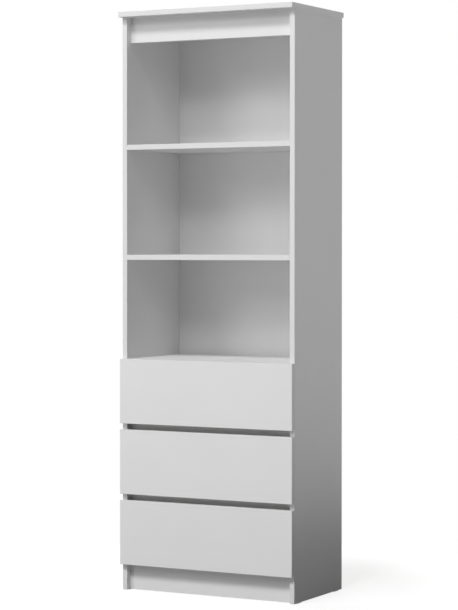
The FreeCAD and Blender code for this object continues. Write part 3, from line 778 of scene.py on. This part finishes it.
cabinet_places, cabinet_facing = [], []
for drawer in DRAWERS:
    wrap_places, wrap_facing = [], []
    for side, sign in SIDES.items():
        low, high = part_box(f"drawer_{drawer}_{side}_cabinet_runner")
        web = max(abs(low.x), abs(high.x)) - RUNNER_SHEET
        for along in CABINET_SCREW_PLACES:
            cabinet_places.append((sign * web, low.y + along, (low.z + high.z) / 2))
            cabinet_facing.append((-sign, 0, 0))
        low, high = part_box(f"drawer_{drawer}_{side}_drawer_runner")
        wrap = min(abs(low.x), abs(high.x)) + WRAP_MIDDLE
        for along in DRAWER_SCREW_PLACES:
            wrap_places.append((sign * wrap, low.y + along, low.z))
            wrap_facing.append((0, 0, -1))
    places = mark_places(wrap_places, facing=wrap_facing)
    body = f"drawer_{drawer}"
    grow(screw_tree, f"{body}_runner_screws", places, DRAWER_SCREW_SIZES, body)
places = mark_places(cabinet_places, facing=cabinet_facing)
grow(screw_tree, "cabinet_runner_screws", places, CABINET_SCREW_SIZES, "carcass")

# %% [markdown]
# ## Moulded rollers
# Each drawer runs on four nylon rollers. A moulded roller isn't a solid disc: its hub and its tyre are
# joined by a thin web with ribs, so that it cools evenly in the mould. The section is turned round the
# axis point by point, and the web rises where there is a rib. A Spin tool would turn one section, but
# couldn't raise the ribs on the way.

# %% Rollers with hub, web, ribs and tyre
TURN_STEPS = 48
RIB_COUNT = 6
RIB_LIMIT = 0.7
BORE = 2.6 * MM
HUB = 4.3 * MM
TYRE_INNER = 8.2 * MM
TYRE = 10 * MM
EDGE = 0.4 * MM
WEB_SINK = 1.7 * MM
RIB_SINK = 0.5 * MM
SHARP_LIMIT = math.radians(30)


def roller_section(angle):
    """The section at one angle, as places along the axis and radii, once round."""
    sink = RIB_SINK if math.cos(RIB_COUNT * angle) > RIB_LIMIT else WEB_SINK
    half = [
        (EDGE, BORE),
        (0, BORE + EDGE),
        (0, HUB),
        (sink, HUB + EDGE),
        (sink, TYRE_INNER - EDGE),
        (0, TYRE_INNER),
        (0, TYRE - EDGE),
        (EDGE, TYRE),
    ]
    return half + [(ROLLER_WIDTH - along, radius) for along, radius in reversed(half)]


def moulded_rollers(name, node):
    """Both rollers of a pair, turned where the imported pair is."""
    axis = middle_of(node)
    shape = bmesh.new()
    for start in (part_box(node)[0].x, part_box(node)[1].x - ROLLER_WIDTH):
        rings = []
        for step in range(TURN_STEPS):
            angle = math.tau * step / TURN_STEPS
            across, up = math.cos(angle), math.sin(angle)
            rings.append(
                [
                    shape.verts.new((start + along, axis.y + radius * across, axis.z + radius * up))
                    for along, radius in roller_section(angle)
                ]
            )
        for step, ring in enumerate(rings):
            following = rings[(step + 1) % TURN_STEPS]
            for index in range(len(ring)):
                after = (index + 1) % len(ring)
                shape.faces.new((ring[index], ring[after], following[after], following[index]))
    bmesh.ops.recalc_face_normals(shape, faces=shape.faces)
    mesh = bpy.data.meshes.new(name)
    shape.to_mesh(mesh)
    shape.free()
    mesh.materials.append(nylon)
    mesh.shade_smooth()
    mesh.set_sharp_from_angle(angle=SHARP_LIMIT)
    piece = bpy.data.objects.new(name, mesh)
    bpy.context.scene.collection.objects.link(piece)
    return piece


for drawer in DRAWERS:
    for end in ("front", "rear"):
        rollers = moulded_rollers(f"drawer_{drawer}_{end}_moulded_rollers", f"drawer_{drawer}_{end}_rollers")
        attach(rollers, f"{end}_rollers_{drawer}")
        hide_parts(f"drawer_{drawer}_{end}_rollers")
        print(rollers.name, len(rollers.data.polygons), "faces")

# %% [markdown]
# ## Studio
# The picture is a plain catalogue shot: soft light from the front on a white background. Two long softboxes
# hang high and far in front. They are as wide as a wall, so the shadows of the top, the shelves and the
# fronts fade out slowly to both sides. Softboxes at the left and close to the floor fill those shadows in, a
# smaller one in front reaches into the bays, and one behind keeps the rear readable.
# One lamp with a bright world would light the object too, but all its sides would come out equally pale.

# %% Lamps
LAMP_AIM = Vector((0, 0, 0.9))
LAMPS = {
    "key_softbox": {"place": (0, -12.0, 13.3), "size": (7.2, 2.2), "watts": 1090},
    "high_softbox": {"place": (-1.8, -12.0, 15.9), "size": (10.8, 1.5), "watts": 1000},
    "left_softbox": {"place": (-5.2, -8.0, 4.6), "size": (3.6, 2.2), "watts": 144},
    "low_softbox": {"place": (-2.5, -6.0, 0.9), "size": (5.0, 1.6), "watts": 30},
    "front_softbox": {"place": (0.75, -5.0, 4.4), "size": (1.5, 0.94), "watts": 50},
    "rear_softbox": {"place": (-2.5, 5.5, 3.0), "size": (4.0, 3.0), "watts": 150},
}

for name, lamp in LAMPS.items():
    light = bpy.data.lights.new(name, "AREA")
    light.shape = "RECTANGLE"
    light.size, light.size_y = lamp["size"]
    light.energy = lamp["watts"]
    stand = bpy.data.objects.new(name, light)
    stand.location = lamp["place"]
    stand.rotation_euler = (LAMP_AIM - stand.location).to_track_quat("-Z", "Y").to_euler()
    stand.visible_camera = False
    bpy.context.scene.collection.objects.link(stand)
print(f"{len(LAMPS)} lamps")

# %% [markdown]
# ## White background
# The camera, reflections and anything seen through glass get a plain white world. Rays that light the
# object get another one: dark above the horizon, and below it the glow of a wide pale floor, which is
# strongest at the right and weakest in front. So the boards get only reflections from the white background,
# and the sides grow darker towards the floor, as they do when an object stands in its own shade.
# The floor itself is a round sheet of paper, just large enough for that shade. The same question, what
# kind of ray asks, lifts it to white, and a little less close to the object, which keeps the shadow.

# %% World
# Where each part of the floor lies, how bright it is, how closely its light keeps to that direction, and at
# which heights of the view it is full and gone
FLOOR_GLOW = {
    "left": {"side": (-1, 0, 0), "strength": 0.59, "focus": 1, "full": -0.04, "gone": 0.04},
    "right": {"side": (0.88, 0.475, 0), "strength": 2.5, "focus": 3, "full": -0.3, "gone": 0.0},
    "front": {"side": (0, -1, 0), "strength": 0.29, "focus": 1, "full": -0.04, "gone": 0.04},
}
WHITE = linear("#FFFFFF")


def seen_directly(tree):
    """1 for rays from the camera, from reflections and through glass, and 0 for rays that light."""
    rays = add_node(tree, "ShaderNodeLightPath").outputs
    seen = add_node(
        tree, "ShaderNodeMath", {0: rays["Is Camera Ray"], 1: rays["Is Glossy Ray"]}, operation="MAXIMUM"
    )
    return add_node(
        tree, "ShaderNodeMath", {0: seen, 1: rays["Is Transmission Ray"]}, operation="MAXIMUM"
    )


world = bpy.data.worlds.new("studio_white")
world.use_nodes = True
tree = world.node_tree
tree.nodes.clear()
direction = add_node(tree, "ShaderNodeTexCoord").outputs["Generated"]
height = add_node(tree, "ShaderNodeSeparateXYZ", {"Vector": direction}).outputs["Z"]
dim = add_node(tree, "ShaderNodeBackground", values={"Strength": 0.0})
for part in FLOOR_GLOW.values():
    towards = add_node(
        tree, "ShaderNodeVectorMath", {0: direction}, {1: part["side"]}, operation="DOT_PRODUCT"
    )
    ahead = add_node(tree, "ShaderNodeMath", {0: towards}, {1: 0.0}, operation="MAXIMUM")
    gathered = add_node(tree, "ShaderNodeMath", {0: ahead}, {1: part["focus"]}, operation="POWER")
    below = add_node(
        tree,
        "ShaderNodeMapRange",
        {"Value": height},
        {"From Min": part["full"], "From Max": part["gone"], "To Min": part["strength"], "To Max": 0.0},
    )
    glow = add_node(tree, "ShaderNodeMath", {0: gathered, 1: below}, operation="MULTIPLY")
    shine = add_node(tree, "ShaderNodeBackground", {"Strength": glow}, {"Color": WHITE})
    dim = add_node(tree, "ShaderNodeAddShader", {0: dim, 1: shine})
white = add_node(tree, "ShaderNodeBackground", values={"Color": WHITE, "Strength": 1.0})
mixed = add_node(tree, "ShaderNodeMixShader", {0: seen_directly(tree), 1: dim, 2: white})
add_node(tree, "ShaderNodeOutputWorld", {"Surface": mixed})
bpy.context.scene.world = world
print("the floor glows from", list(FLOOR_GLOW))

# %% Floor
PAPER_RADIUS = 1.1
PAPER_CORNERS = 96
PAPER_COLOUR = linear("#898989")
SHADOW_LIFT, EDGE_LIFT = 0.82, 1.0
LIFT_START, LIFT_END = 0.5, 1.05

paper, tree = new_material("white_background_paper")
spot = add_node(tree, "ShaderNodeTexCoord").outputs["Object"]
away = add_node(tree, "ShaderNodeVectorMath", {0: spot}, operation="LENGTH")
fade = add_node(
    tree,
    "ShaderNodeMapRange",
    {"Value": away},
    {"From Min": LIFT_START, "From Max": LIFT_END, "To Min": SHADOW_LIFT, "To Max": EDGE_LIFT},
    interpolation_type="SMOOTHSTEP",
)
lifted = add_node(tree, "ShaderNodeMath", {0: fade, 1: seen_directly(tree)}, operation="MULTIPLY")
matt = add_node(tree, "ShaderNodeBsdfDiffuse", values={"Color": PAPER_COLOUR})
lift = add_node(tree, "ShaderNodeEmission", {"Strength": lifted}, {"Color": WHITE})
both = add_node(tree, "ShaderNodeAddShader", {0: matt, 1: lift})
add_node(tree, "ShaderNodeOutputMaterial", {"Surface": both})

turns = [math.tau * corner / PAPER_CORNERS for corner in range(PAPER_CORNERS)]
rim = [(PAPER_RADIUS * math.cos(turn), PAPER_RADIUS * math.sin(turn), 0) for turn in turns]
floor_mesh = bpy.data.meshes.new("studio_floor")
floor_mesh.from_pydata(rim, [], [range(PAPER_CORNERS)])
floor_mesh.materials.append(paper)
floor = bpy.data.objects.new("studio_floor", floor_mesh)
bpy.context.scene.collection.objects.link(floor)
print(f"paper {2 * PAPER_RADIUS:.1f} m across")

# %% [markdown]
# ## Camera
# The photograph is a long-lens view from the right, a little above the middle of the bookcase, with the
# camera tipped one degree down. The upright edges stay upright because the tilt is so small.
# The place, angle and lens come from fitting the bookcase's corners to their places in the picture.

# %% Camera
CAMERA_PLACE = Vector((3.22443, -5.96959, 1.08260))
CAMERA_YAW = math.radians(28.43)
CAMERA_PITCH = math.radians(-1.0)
PICTURE_WIDTH, PICTURE_HEIGHT = 458, 610
LENS_PIXELS = 2176.48
CENTRE_ROW = 281.65
SENSOR = 36.0

camera_data = bpy.data.cameras.new("catalogue_camera")
camera_data.sensor_width = SENSOR
camera_data.lens = SENSOR * LENS_PIXELS / PICTURE_HEIGHT
camera_data.shift_y = (CENTRE_ROW - PICTURE_HEIGHT / 2) / PICTURE_HEIGHT
camera = bpy.data.objects.new("catalogue_camera", camera_data)
camera.location = CAMERA_PLACE
camera.rotation_euler = (math.pi / 2 + CAMERA_PITCH, 0, CAMERA_YAW)
bpy.context.scene.collection.objects.link(camera)
bpy.context.scene.camera = camera
bpy.context.scene.view_settings.view_transform = "Standard"
print(f"lens {camera_data.lens:.1f} mm, shift {camera_data.shift_y:.4f}")
